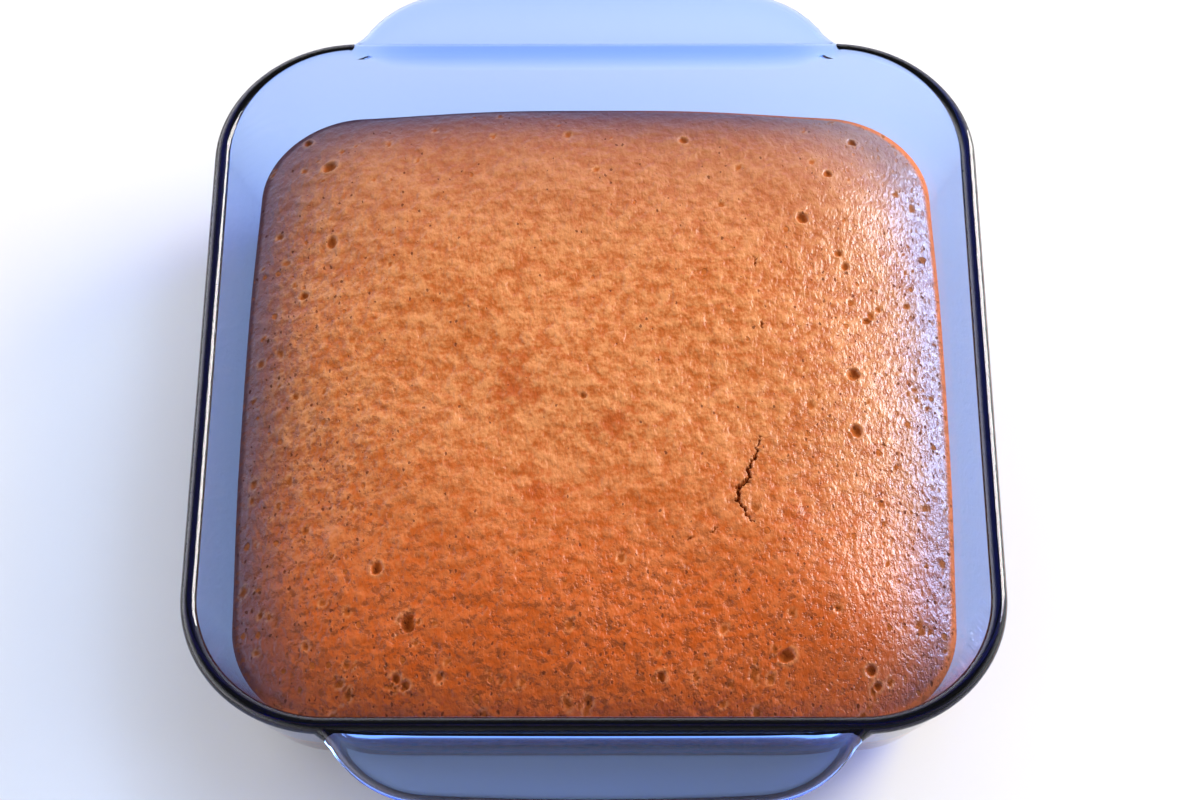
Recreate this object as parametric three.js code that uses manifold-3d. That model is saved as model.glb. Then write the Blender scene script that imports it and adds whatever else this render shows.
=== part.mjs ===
// Pumpkin cake, baked in a square pressed-glass dish with a tab handle at the front and back.
// Millimetres, +Z up. X runs along the handles and Y from the front handle to the back one.
// The origin is the middle of the dish's underside, on the surface that it stands on.

import * as THREE from 'three';
import { mergeVertices } from 'three/addons/utils/BufferGeometryUtils.js';
import Module from 'manifold-3d';

// ---------- driving dimensions ----------

// The dish
const DISH_HEIGHT = 56;
const RIM_HALF = 111; // from the middle of the dish to the outside of its rim
const RIM_CORNER = 40.5; // radius of the rim's corners, seen from above
const WALL = 4.9; // thickness of the wall, and so the width of its rounded rim
const WALL_LEAN = 0.3; // how far the wall leans out for each unit of height
const FLOOR = 5; // thickness of the bottom
const INSIDE_FILLET = 10; // where the bottom turns up into the wall
const OUTSIDE_FILLET = 15;

// The tab handles. A reach is measured out from the rim.
const HANDLE_REACH = 20.2;
const HANDLE_ROOT_HALF = 77; // half the length where the handle leaves the wall
const HANDLE_DROP = 0.8; // how far its edge lies below the top of the rim
const HANDLE_SCOOP = 3.2; // how far its top dips towards the rim, at the middle
const HANDLE_SCOOP_POWER = 1.4; // higher keeps the dip closer to the rim
const HANDLE_THICK = 5.2; // at its rounded edge
const HANDLE_ROOT_THICK = 8.6; // from that edge's top to the underside of its root

// Where a handle's outline bends: how far in from the end of its root, and at what share of its
// reach. It flares out of the wall, turns a generous corner and runs along a slightly bowed edge.
const HANDLE_BENDS = {
  root: [0, -0.16],
  flare: [6, 0],
  flareEnd: [9.5, 0.28],
  turn: [14.5, 0.63],
  turnOut: [22.5, 0.92],
  turnEnd: [34, 0.95],
  bow: [55.5, 1],
  middle: [HANDLE_ROOT_HALF, 1],
};

// The cake
const CLEARANCE = 0.3; // between the cake and the glass
const EDGE_BELOW_RIM = 20; // the top of the cake's side, at the middle of each side
const CORNER_DROP = 5; // how much lower it is in the corners
const CORNER_POWER = 1.5; // higher keeps that drop closer to the corners
const CROWN_BELOW_RIM = 9.5; // the middle of the domed top
const DOME_POWER = 4; // higher is flatter in the middle and steeper at the sides
const SHOULDER_DROP = 1.4; // the crust's rounded edge
const SHOULDER_WIDTH = 2.2;
const UNEVENNESS = 0.45; // the top's slow swells
const SWELL_POWER = 8; // higher carries the swells closer to the side
const BUBBLE_FORM = new THREE.Vector3(1, 0.8, 0.9); // a burst bubble is a little flattened
const CRACK_WIDTH = 1.6; // at the crust
const CRACK_DEPTH = 5;
const CRACK_ENDS = 0.12; // how open the crack is at its ends
const CRACK_ABOVE = 1.7; // the crack's cut starts this far above the crust

// The larger burst bubbles of the crust: where they are and how wide
const BUBBLES = [
  { x: -50, y: -74, width: 4.6 },
  { x: -59, y: -58, width: 3.0 },
  { x: 52, y: -82.5, width: 3.8 },
  { x: 75, y: -85.5, width: 3.0 },
  { x: 60.5, y: 55.5, width: 2.8 },
  { x: 73.5, y: 3.5, width: 3.6 },
  { x: 73.5, y: -15, width: 3.2 },
  { x: -76.5, y: 49.5, width: 2.8 },
  { x: -79, y: 77.5, width: 3.0 },
  { x: 18, y: -89, width: 2.6 },
];

// The crack lies to the right of the middle. It runs forward and to the left, then back again.
const CRACK_LINE = new THREE.CatmullRomCurve3([
  new THREE.Vector3(46.5, -15.5),
  new THREE.Vector3(44.5, -26),
  new THREE.Vector3(40.4, -34.5),
  new THREE.Vector3(42, -43),
  new THREE.Vector3(46.5, -46.5),
]);

// Steps round the shapes
const SECTION_STEPS = 8;
const DISH_STEPS = { corner: 12, side: 1 };
const HANDLE_STEPS = { flare: 7, corner: 10, edge: 6, across: 4, round: 6 };
const CAKE_STEPS = { corner: 7, side: 9, foot: 6 };
const CRACK_STEPS = 11;

// The rings of points on the cake's top lie this far in from its side, closest where it bends most
const TOP_INSETS = [0.7, 1.7, 3.2, 5.5, 9, 13, 18, 24, 31, 39, 48, 58, 69, 81, 92];

// ---------- shared helpers ----------

// The dish's plan at half width `half`: every level is an offset of the rim's rounded square,
// so its corners get tighter as it gets smaller. `half` may be a function of the point's number.
function planLoop(half, steps) {
  const count = 4 * (steps.corner + steps.side);
  const points = [];
  for (let i = 0; i < count; i += 1) {
    const reach = typeof half === 'function' ? half(i) : half;
    const corner = RIM_CORNER - (RIM_HALF - reach);
    const straight = reach - corner;
    const quarter = Math.floor(i / (steps.corner + steps.side));
    const step = i % (steps.corner + steps.side);
    const point = new THREE.Vector2(reach, straight);
    if (step < steps.side) {
      point.y = straight * (2 * step / steps.side - 1);
    } else {
      const angle = Math.PI / 2 * (step - steps.side) / steps.corner;
      point.set(straight + corner * Math.cos(angle), straight + corner * Math.sin(angle));
    }
    points.push(point.rotateAround(new THREE.Vector2(), quarter * Math.PI / 2));
  }
  return points;
}

// A closed shell over loops of equal length. Each end is closed by a fan to a middle point.
// Loops that run anticlockwise seen from above, listed from the underside up and over the top,
// give faces that point out.
function shell(loops, firstMiddle, lastMiddle) {
  const count = loops[0].length;
  const positions = loops.flat().flatMap((p) => [p.x, p.y, p.z]);
  positions.push(firstMiddle.x, firstMiddle.y, firstMiddle.z);
  positions.push(lastMiddle.x, lastMiddle.y, lastMiddle.z);
  const first = loops.length * count;
  const last = first + 1;
  const index = [];
  for (let i = 0; i < count; i += 1) {
    const next = (i + 1) % count;
    index.push(first, next, i);
    for (let row = 0; row + 1 < loops.length; row += 1) {
      const low = row * count;
      const high = low + count;
      index.push(low + i, low + next, high + next);
      index.push(low + i, high + next, high + i);
    }
    index.push(last, first - count + i, first - count + next);
  }
  const geometry = new THREE.BufferGeometry();
  geometry.setAttribute('position', new THREE.Float32BufferAttribute(positions, 3));
  geometry.setIndex(index);
  return geometry;
}

function middleOf(loop) {
  const sum = loop.reduce((total, p) => total.add(p), new THREE.Vector3());
  return sum.divideScalar(loop.length);
}

const wasm = await Module();
wasm.setup();

function toSolid(geometry) {
  const vertProperties = new Float32Array(geometry.attributes.position.array);
  const triVerts = new Uint32Array(geometry.index.array);
  return new wasm.Manifold(new wasm.Mesh({ numProp: 3, vertProperties, triVerts }));
}

function toGeometry(solid) {
  const mesh = solid.getMesh();
  const geometry = new THREE.BufferGeometry();
  const positions = [];
  for (let i = 0; i < mesh.vertProperties.length; i += mesh.numProp) {
    positions.push(...mesh.vertProperties.slice(i, i + 3));
  }
  geometry.setAttribute('position', new THREE.Float32BufferAttribute(positions, 3));
  geometry.setIndex(Array.from(mesh.triVerts));
  geometry.computeVertexNormals();
  return geometry;
}

// ---------- the glass dish ----------

const RIM_ROUND = WALL / 2;
const WALL_TOP = DISH_HEIGHT - RIM_ROUND; // where the wall turns into its rounded rim

// Half width of the dish at height z, outside the wall and inside it
function outsideHalf(z) {
  return RIM_HALF - WALL_LEAN * (WALL_TOP - z);
}

function insideHalf(z) {
  return outsideHalf(z) - WALL;
}

// The dish in section: x is the half width and y the height. It starts on the underside,
// goes up the outside, over the rim and down the inside to the bottom.
function dishSection() {
  const section = new THREE.Path();
  section.moveTo(outsideHalf(0) - OUTSIDE_FILLET, 0);
  section.quadraticCurveTo(outsideHalf(0), 0, outsideHalf(OUTSIDE_FILLET), OUTSIDE_FILLET);
  section.lineTo(RIM_HALF, WALL_TOP);
  section.absarc(RIM_HALF - RIM_ROUND, WALL_TOP, RIM_ROUND, 0, Math.PI);
  const turnUp = FLOOR + INSIDE_FILLET;
  section.lineTo(insideHalf(turnUp), turnUp);
  section.quadraticCurveTo(insideHalf(FLOOR), FLOOR, insideHalf(FLOOR) - INSIDE_FILLET, FLOOR);
  return section.getPoints(SECTION_STEPS);
}

function dishBowl() {
  const loops = dishSection().map((level) => planLoop(level.x, DISH_STEPS)
    .map((p) => new THREE.Vector3(p.x, p.y, level.y)));
  return shell(loops, new THREE.Vector3(0, 0, 0), new THREE.Vector3(0, 0, FLOOR));
}

function handleBend([inFromEnd, share]) {
  return new THREE.Vector2(HANDLE_ROOT_HALF - inFromEnd, share * HANDLE_REACH);
}

// The handle's outline seen from above: x along the rim, y the reach. One half is drawn, and the
// other is its mirror image.
function handleOutline() {
  const bends = HANDLE_BENDS;
  const flare = [bends.root, bends.flare, bends.flareEnd].map(handleBend);
  const turn = [bends.flareEnd, bends.turn, bends.turnOut, bends.turnEnd].map(handleBend);
  const edge = [bends.turnEnd, bends.bow, bends.middle].map(handleBend);
  const right = [
    ...new THREE.QuadraticBezierCurve(...flare).getPoints(HANDLE_STEPS.flare).slice(0, -1),
    ...new THREE.CubicBezierCurve(...turn).getPoints(HANDLE_STEPS.corner).slice(0, -1),
    ...new THREE.QuadraticBezierCurve(...edge).getPoints(HANDLE_STEPS.edge),
  ];
  const left = right.slice(0, -1).reverse().map((p) => new THREE.Vector2(-p.x, p.y));
  return [...right, ...left];
}

// The middle of the wall's thickness at height z, as a reach: the handle starts there
function handleRoot(z) {
  return outsideHalf(z) - RIM_HALF - WALL / 2;
}

// One section of the handle, at a point of its outline: from its root along the scooped top,
// round the edge and back along the underside. The scoop is deepest at the rim, in the middle
// of the handle, and runs out with its reach.
function handleSection(point, outward) {
  const topZ = DISH_HEIGHT - HANDLE_DROP;
  const topRoot = handleRoot(topZ - HANDLE_SCOOP);
  const undersideRoot = handleRoot(topZ - HANDLE_ROOT_THICK);
  const almostHalf = 0.45; // keeps the rounded edge inside a section that is very short
  const round = Math.min(HANDLE_THICK / 2, almostHalf * (point.y - topRoot));
  const inner = point.clone().addScaledVector(outward, -round);
  const share = (inner.y - topRoot) / (HANDLE_REACH - topRoot);
  const top = [];
  const underside = [];
  for (let i = 0; i <= HANDLE_STEPS.across; i += 1) {
    const out = i / HANDLE_STEPS.across;
    const dip = HANDLE_SCOOP * share * (1 - out) ** HANDLE_SCOOP_POWER;
    top.push(new THREE.Vector3(inner.x, THREE.MathUtils.lerp(topRoot, inner.y, out), topZ - dip));
    const thick = THREE.MathUtils.lerp(HANDLE_ROOT_THICK, HANDLE_THICK, out);
    const y = THREE.MathUtils.lerp(undersideRoot, inner.y, out);
    underside.push(new THREE.Vector3(inner.x, y, topZ - thick));
  }
  const edge = [];
  for (let i = 1; i < HANDLE_STEPS.round; i += 1) {
    const angle = Math.PI * (0.5 - i / HANDLE_STEPS.round);
    const out = point.clone().addScaledVector(outward, round * (Math.cos(angle) - 1));
    edge.push(new THREE.Vector3(out.x, out.y, topZ - HANDLE_THICK / 2 * (1 - Math.sin(angle))));
  }
  return [...top, ...edge, ...underside.reverse()];
}

function handle() {
  const outline = handleOutline();
  const loops = outline.map((point, i) => {
    const before = outline[Math.max(i - 1, 0)];
    const after = outline[Math.min(i + 1, outline.length - 1)];
    const along = after.clone().sub(before).normalize();
    return handleSection(point, new THREE.Vector2(along.y, -along.x));
  });
  const geometry = shell(loops, middleOf(loops[0]), middleOf(loops.at(-1)));
  return geometry.translate(0, RIM_HALF, 0);
}

function dish() {
  const back = toSolid(handle());
  const front = toSolid(handle().rotateZ(Math.PI));
  return toGeometry(toSolid(dishBowl()).add(back).add(front));
}

// ---------- the cake ----------

const CAKE_SIDE_TOP = DISH_HEIGHT - EDGE_BELOW_RIM;
const CAKE_CROWN = DISH_HEIGHT - CROWN_BELOW_RIM;

// The cake's half width at height z: it fills the dish
function cakeHalf(z) {
  return insideHalf(z) - CLEARANCE;
}

// The top of the cake's side at the point (x, y) of its outline, lower towards the corners
function sideTopAt(x, y) {
  const half = cakeHalf(CAKE_SIDE_TOP);
  return CAKE_SIDE_TOP - CORNER_DROP * Math.abs(x * y / (half * half)) ** CORNER_POWER;
}

// Slow swells of the baked top
function swell(x, y) {
  const waves = Math.sin(x / 17 + 0.6) * Math.cos(y / 21 - 0.4)
    + 0.6 * Math.sin((x + y) / 11.5 + 1.9)
    + 0.5 * Math.cos((x - 1.4 * y) / 14 + 0.8);
  return UNEVENNESS * waves;
}

// The crust's height at (x, y). `share` is how far out that is, from 0 in the middle to 1 at the
// side, and `sideTop` is the top of the side straight outwards from it.
function crustHeight(x, y, share, sideTop) {
  const dome = CAKE_CROWN - (CAKE_CROWN - sideTop) * share ** DOME_POWER;
  const inset = (1 - share) * cakeHalf(CAKE_SIDE_TOP);
  const shoulder = SHOULDER_DROP * Math.exp(-inset / SHOULDER_WIDTH);
  return dome - shoulder + swell(x, y) * (1 - share ** SWELL_POWER);
}

function crustHeightAt(x, y) {
  const share = Math.max(Math.abs(x), Math.abs(y)) / cakeHalf(CAKE_SIDE_TOP);
  return crustHeight(x, y, share, sideTopAt(x / share, y / share));
}

function cakeLoops() {
  const bottom = FLOOR + CLEARANCE;
  const turnUp = bottom + INSIDE_FILLET;
  const foot = new THREE.Path();
  foot.moveTo(cakeHalf(bottom) - INSIDE_FILLET, bottom);
  foot.quadraticCurveTo(cakeHalf(bottom), bottom, cakeHalf(turnUp), turnUp);
  const loops = foot.getPoints(CAKE_STEPS.foot).map((level) => planLoop(level.x, CAKE_STEPS)
    .map((p) => new THREE.Vector3(p.x, p.y, level.y)));

  const sideTop = planLoop(cakeHalf(CAKE_SIDE_TOP), CAKE_STEPS).map((p) => sideTopAt(p.x, p.y));
  const edgePlan = planLoop((i) => cakeHalf(sideTop[i] - SHOULDER_DROP), CAKE_STEPS);
  loops.push(edgePlan.map((p, i) => new THREE.Vector3(p.x, p.y, sideTop[i] - SHOULDER_DROP)));

  for (const inset of TOP_INSETS) {
    const share = 1 - inset / cakeHalf(CAKE_SIDE_TOP);
    loops.push(edgePlan.map((p, i) => {
      const x = p.x * share;
      const y = p.y * share;
      return new THREE.Vector3(x, y, crustHeight(x, y, share, sideTop[i]));
    }));
  }
  return loops;
}

function bubble({ x, y, width }) {
  const ball = new THREE.IcosahedronGeometry(width / 2, 1);
  ball.deleteAttribute('normal');
  ball.deleteAttribute('uv');
  ball.scale(BUBBLE_FORM.x, BUBBLE_FORM.y, BUBBLE_FORM.z);
  ball.translate(x, y, crustHeightAt(x, y));
  return mergeVertices(ball);
}

// A wedge along the crack's line, widest in the middle and nearly shut at both ends
function crack() {
  const loops = [];
  for (let i = 0; i <= CRACK_STEPS; i += 1) {
    const along = i / CRACK_STEPS;
    const middle = CRACK_LINE.getPoint(along);
    const tangent = CRACK_LINE.getTangent(along);
    const open = THREE.MathUtils.lerp(CRACK_ENDS, 1, Math.sin(Math.PI * along));
    const depth = CRACK_DEPTH * open;
    const halfAbove = CRACK_WIDTH / 2 * open * (depth + CRACK_ABOVE) / depth;
    const side = new THREE.Vector3(-tangent.y, tangent.x, 0).multiplyScalar(halfAbove);
    const surface = crustHeightAt(middle.x, middle.y);
    const above = new THREE.Vector3(middle.x, middle.y, surface + CRACK_ABOVE);
    const bottom = new THREE.Vector3(middle.x, middle.y, surface - depth);
    loops.push([above.clone().sub(side), bottom, above.clone().add(side)]);
  }
  return shell(loops, middleOf(loops[0]), middleOf(loops.at(-1)));
}

function cake() {
  const bottomMiddle = new THREE.Vector3(0, 0, FLOOR + CLEARANCE);
  const crown = new THREE.Vector3(0, 0, CAKE_CROWN + swell(0, 0));
  let solid = toSolid(shell(cakeLoops(), bottomMiddle, crown));
  for (const place of BUBBLES) {
    solid = solid.subtract(toSolid(bubble(place)));
  }
  return toGeometry(solid.subtract(toSolid(crack())));
}

// ---------- the part ----------

const GLASS = new THREE.MeshStandardMaterial({ color: 0x8fb4e6, roughness: 0.05, metalness: 0 });
const CRUST = new THREE.MeshStandardMaterial({ color: 0xc0703a, roughness: 0.5, metalness: 0 });

const group = new THREE.Group();

function addPart(name, geometry, material) {
  const mesh = new THREE.Mesh(geometry, material);
  mesh.name = name;
  group.add(mesh);
}

addPart('dish', dish(), GLASS);
addPart('cake', cake(), CRUST);

export default group;
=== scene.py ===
# %% [markdown]
# # A pumpkin cake in the glass dish it was baked in
#
# The real object is two things: a square cake with a low, domed, orange-brown crust, and the
# pressed blue glass dish that it rose in. The solid model fixes every size. Here both get their
# finished surface: clear glass that darkens where it is thick, and a crust with dimples, burst
# bubbles, a crack and a moist sheen.

# %% The frame
import math
import random
from collections import namedtuple

import bmesh
import bpy
from mathutils import Matrix, Vector


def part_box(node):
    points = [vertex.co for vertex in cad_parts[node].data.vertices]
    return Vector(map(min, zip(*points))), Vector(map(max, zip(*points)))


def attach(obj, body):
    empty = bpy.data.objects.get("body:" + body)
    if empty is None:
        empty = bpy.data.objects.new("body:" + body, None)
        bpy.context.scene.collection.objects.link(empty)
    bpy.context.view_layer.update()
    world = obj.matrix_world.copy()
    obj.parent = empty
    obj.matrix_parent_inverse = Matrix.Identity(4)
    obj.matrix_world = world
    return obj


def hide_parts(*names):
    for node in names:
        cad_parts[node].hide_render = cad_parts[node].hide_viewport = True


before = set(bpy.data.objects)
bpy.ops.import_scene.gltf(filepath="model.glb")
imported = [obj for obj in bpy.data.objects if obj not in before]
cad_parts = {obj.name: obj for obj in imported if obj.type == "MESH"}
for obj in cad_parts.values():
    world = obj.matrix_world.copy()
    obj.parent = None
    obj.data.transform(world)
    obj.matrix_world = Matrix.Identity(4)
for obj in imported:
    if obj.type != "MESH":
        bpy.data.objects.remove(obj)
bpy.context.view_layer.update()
dish_low, dish_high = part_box("dish")
cake_low, cake_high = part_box("cake")
mm = 0.001
print("dish box, mm:", [round(side / mm, 1) for side in dish_high - dish_low])
print("cake box, mm:", [round(side / mm, 1) for side in cake_high - cake_low])

# %% [markdown]
# ## Small tools
#
# A new primitive comes in fully selected, and the frame's own nodes are still selected from
# their import. So every piece starts from a clean selection. In edit mode an operator works on
# what is selected, and `select` picks that by a test of each corner, edge or face.

# %% Modelling helpers
def start(kind, name, **size):
    """Adds a primitive with its place in its mesh, and opens it in edit mode."""
    if bpy.context.mode != "OBJECT":
        bpy.ops.object.mode_set(mode="OBJECT")
    bpy.ops.object.select_all(action="DESELECT")
    getattr(bpy.ops.mesh, f"primitive_{kind}_add")(**size)
    bpy.ops.object.transform_apply(location=True, rotation=True, scale=True)
    piece = bpy.context.object
    piece.name = piece.data.name = name
    bpy.ops.object.mode_set(mode="EDIT")
    return piece


def select(piece, kind, test):
    """Selects the corners, edges or faces of a piece in edit mode that pass a test."""
    bpy.ops.mesh.select_mode(type=kind)
    bpy.ops.mesh.select_all(action="DESELECT")
    mesh = bmesh.from_edit_mesh(piece.data)
    items = {"VERT": mesh.verts, "EDGE": mesh.edges, "FACE": mesh.faces}[kind]
    for item in items:
        item.select = test(item)
    mesh.select_flush_mode()
    bmesh.update_edit_mesh(piece.data)


def select_border():
    """Selects the open border of the piece in edit mode."""
    bpy.ops.mesh.select_mode(type="EDGE")
    bpy.ops.mesh.select_all(action="DESELECT")
    bpy.ops.mesh.select_non_manifold(
        extend=False, use_wire=False, use_multi_face=False, use_non_contiguous=False, use_verts=False
    )


def finish_editing(piece):
    bpy.ops.object.mode_set(mode="OBJECT")
    triangles = sum(len(face.vertices) - 2 for face in piece.data.polygons)
    print(f"{piece.name}: {triangles} triangles")


# %% [markdown]
# Some shapes and all finishes are worked out by node trees. A formula such as the dome's height
# takes a dozen Math nodes, which are hard to read one by one. `Value` lets Python's own
# arithmetic make those nodes, in a Geometry Nodes tree and in a material alike.

# %% Node helpers
def feed(tree, value, socket):
    """Links a value to a socket, or sets the socket to a plain number, colour or vector."""
    if isinstance(value, Value):
        tree.links.new(value.socket, socket)
    else:
        socket.default_value = value


def add(tree, kind, inputs=None, output=0, **settings):
    """Adds a node with its menus and inputs set, and returns one of its outputs as a Value."""
    node = tree.nodes.new(kind)
    for name, setting in settings.items():
        setattr(node, name, setting)
    for name, value in (inputs or {}).items():
        feed(tree, value, node.inputs[name])
    return Value(tree, node.outputs[output])


def finish_material(surface, volume=None):
    """Gives a material its surface, and its volume if it has one."""
    node = surface.tree.nodes.new("ShaderNodeOutputMaterial")
    feed(surface.tree, surface, node.inputs["Surface"])
    if volume:
        feed(surface.tree, volume, node.inputs["Volume"])


def maths(tree, operation, *values):
    return add(tree, "ShaderNodeMath", dict(enumerate(values)), operation=operation)


class Value:
    """One output in a node tree. Arithmetic on it adds the nodes that work the result out."""

    def __init__(self, tree, socket):
        self.tree = tree
        self.socket = socket

    def __add__(self, other):
        return maths(self.tree, "ADD", self, other)

    def __sub__(self, other):
        return maths(self.tree, "SUBTRACT", self, other)

    def __rsub__(self, other):
        return maths(self.tree, "SUBTRACT", other, self)

    def __mul__(self, other):
        return maths(self.tree, "MULTIPLY", self, other)

    def __truediv__(self, other):
        return maths(self.tree, "DIVIDE", self, other)

    def __pow__(self, other):
        return maths(self.tree, "POWER", self, other)

    __radd__ = __add__
    __rmul__ = __mul__

    def of(self, operation, *others):
        """Any other Math operation, such as of("MAXIMUM", 0)."""
        return maths(self.tree, operation, self, *others)

    def rise(self, low, high):
        """0 below low and 1 above high, with a smooth rise between. It falls if low is higher."""
        inputs = {"Value": self, "From Min": low, "From Max": high}
        return add(self.tree, "ShaderNodeMapRange", inputs, interpolation_type="SMOOTHSTEP")

    def part(self, axis):
        """The X, Y or Z of a vector."""
        return add(self.tree, "ShaderNodeSeparateXYZ", {"Vector": self}, output=axis)


def vector(tree, x, y, z):
    return add(tree, "ShaderNodeCombineXYZ", {"X": x, "Y": y, "Z": z})


def noise(tree, place, size, detail=2.0, roughness=0.5):
    """Noise from -0.5 to 0.5 whose lumps are about `size` metres wide."""
    inputs = {"Vector": place, "Scale": 1 / size, "Detail": detail, "Roughness": roughness}
    return add(tree, "ShaderNodeTexNoise", inputs) - 0.5


# %% [markdown]
# ## Camera
#
# The cake is seen from the front and well above, through a long lens that keeps its sides
# nearly parallel. A camera looks along its own -Z, so it is tipped up from straight down, then
# turned a little about the upright.

# %% Camera
CAMERA_PLACE = Vector((5.93, -412.3, 766.5)) * mm
LENS = 88.14
LOOK_DOWN = math.radians(60.60)
TURN = math.radians(0.615)
ROLL = math.radians(-0.587)

camera = bpy.data.objects.new("camera", bpy.data.cameras.new("camera"))
bpy.context.scene.collection.objects.link(camera)
camera.data.lens = LENS
camera.data.sensor_width = 36
camera.data.clip_start = 0.01
tip = Matrix.Rotation(math.pi / 2 - LOOK_DOWN, 4, "X")
camera.matrix_world = (
    Matrix.Translation(CAMERA_PLACE) @ Matrix.Rotation(TURN, 4, "Z") @ tip @ Matrix.Rotation(ROLL, 4, "Z")
)
bpy.context.scene.camera = camera

# %% [markdown]
# ## The glass dish
#
# The real dish is pressed from one gob of glass. Every level of it is the same rounded square,
# moved in or out by an equal distance all round, and that is what Inset does to a face. So the
# bowl is modelled from one face at the rim: it is inset and lowered to make the outside, and
# a second face that closes the top is inset over the rounded rim and down to the bottom.

# %% Sizes of the dish
RIM_HALF = dish_high.x
DISH_HEIGHT = dish_high.z
RIM_CORNER = 40.5 * mm
WALL = 4.9 * mm  # thickness, measured level
WALL_LEAN = 0.3  # how far the wall moves out for each unit up
LEAN_ANGLE = math.atan(WALL_LEAN)
FLOOR = 5 * mm
INSIDE_FILLET = 10 * mm
OUTSIDE_FILLET = 15 * mm
RIM_ROUND = WALL * math.cos(LEAN_ANGLE) / 2  # a half circle that runs smoothly into both walls
RIM_MIDDLE = Vector((RIM_HALF - RIM_ROUND, DISH_HEIGHT - RIM_ROUND))


def outside_half(z):
    return RIM_MIDDLE.x + WALL / 2 - WALL_LEAN * (RIM_MIDDLE.y - z)


def inside_half(z):
    return outside_half(z) - WALL


def rim_arc(first, last, steps):
    """Levels round the rim's half circle, between two directions in radians."""
    turns = [first + (last - first) * step / steps for step in range(steps + 1)]
    return [RIM_MIDDLE + RIM_ROUND * Vector((math.cos(turn), math.sin(turn))) for turn in turns]


def fillet(half_at, low, high, steps):
    """Levels of a rounded turn from the wall at height `high` down to a flat at height `low`."""
    start_point = Vector((half_at(high), high))
    bend = Vector((half_at(low), low))
    end_point = bend - Vector((high - low, 0))
    levels = []
    for step in range(steps + 1):
        t = step / steps
        levels.append(start_point * (1 - t) ** 2 + bend * 2 * t * (1 - t) + end_point * t ** 2)
    return levels


# %% The bowl
CORNER_STEPS = 28
RIM_STEPS = 14
FILLET_STEPS = 12


def step_in(levels, up):
    """Insets the selected face through levels, each a half width and a height."""
    for level, after in zip(levels, levels[1:]):
        bpy.ops.mesh.inset(thickness=level.x - after.x, depth=(after.y - level.y) * up)


bowl = start("plane", "glass_dish", size=2 * RIM_HALF, location=(0, 0, RIM_MIDDLE.y))
bpy.ops.mesh.bevel(affect="VERTICES", offset=RIM_CORNER, segments=CORNER_STEPS, profile=0.5)
bpy.ops.mesh.flip_normals()
under_rim = rim_arc(0, -LEAN_ANGLE, 2)
step_in([*under_rim, *fillet(outside_half, 0, OUTSIDE_FILLET, FILLET_STEPS)], up=-1)
select_border()
bpy.ops.mesh.edge_face_add()
over_rim = rim_arc(0, math.pi - LEAN_ANGLE, RIM_STEPS)
step_in([*over_rim, *fillet(inside_half, FLOOR, FLOOR + INSIDE_FILLET, FILLET_STEPS)], up=1)
bpy.ops.mesh.select_all(action="SELECT")
bpy.ops.mesh.normals_make_consistent(inside=False)
finish_editing(bowl)

# %% [markdown]
# The tab handles flare out of the wall, turn a generous corner and run along a slightly bowed
# edge. Their top is scooped down towards the rim for the thumbs. A handle is a loft: a section
# is drawn as a ring, extruded from place to place round the outline, and closed at both ends.

# %% Sizes of the handles
HANDLE_REACH = dish_high.y - RIM_HALF
HANDLE_ROOT_HALF = 77 * mm
HANDLE_DROP = 0.8 * mm  # the handle's top lies this much below the rim
HANDLE_SCOOP = 3.2 * mm  # and this much lower still at its root
HANDLE_THICK = 5.2 * mm
HANDLE_ROOT_THICK = 10.5 * mm
HANDLE_UNDER_POWER = 2.5  # how quickly the underside sweeps up from the wall
HANDLE_SCOOP_POWER = 1.4
HANDLE_EDGE_SHARE = 0.45  # the round edge is at most this share of the reach, where that is short
HANDLE_FILLET = 1.2 * mm  # the glass runs up to the rim in a small hollow curve this high
HANDLE_FILLET_START = -0.1 * mm
HANDLE_FILLET_WIDTH = 2.0 * mm
HANDLE_TAPER = 0.5  # below this share of its reach, the handle's root gets thinner

# Points of the outline: how far in from the end of its root, and at what share of its reach
HANDLE_FLARE = [(0, -0.10), (6 * mm, -0.02), (9.5 * mm, 0.28)]
HANDLE_TURN = [(9.5 * mm, 0.28), (14.5 * mm, 0.63), (22.5 * mm, 0.92), (34 * mm, 0.95)]
HANDLE_EDGE = [(34 * mm, 0.95), (55.5 * mm, 1), (HANDLE_ROOT_HALF, 1)]


def bezier(points, t):
    """A point on the curve through the first and last point, pulled towards those between."""
    while len(points) > 1:
        points = [a.lerp(b, t) for a, b in zip(points, points[1:])]
    return points[0]


def handle_outline():
    """The outline from the right end of the root to the left one, in x along the rim and reach."""
    right = []
    for bends, steps in ((HANDLE_FLARE, 10), (HANDLE_TURN, 16), (HANDLE_EDGE, 8)):
        points = [Vector((HANDLE_ROOT_HALF - inset, share * HANDLE_REACH)) for inset, share in bends]
        right += [bezier(points, step / steps) for step in range(steps)]
    middle = Vector((0, HANDLE_REACH))
    return [*right, middle, *(Vector((-p.x, p.y)) for p in reversed(right))]


# %% A section of the handle
ACROSS_STEPS = 12
CLOSER_AT_ROOT = 1.5  # the power that sets the steps across closer together near the rim
ROUND_STEPS = 10


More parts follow.
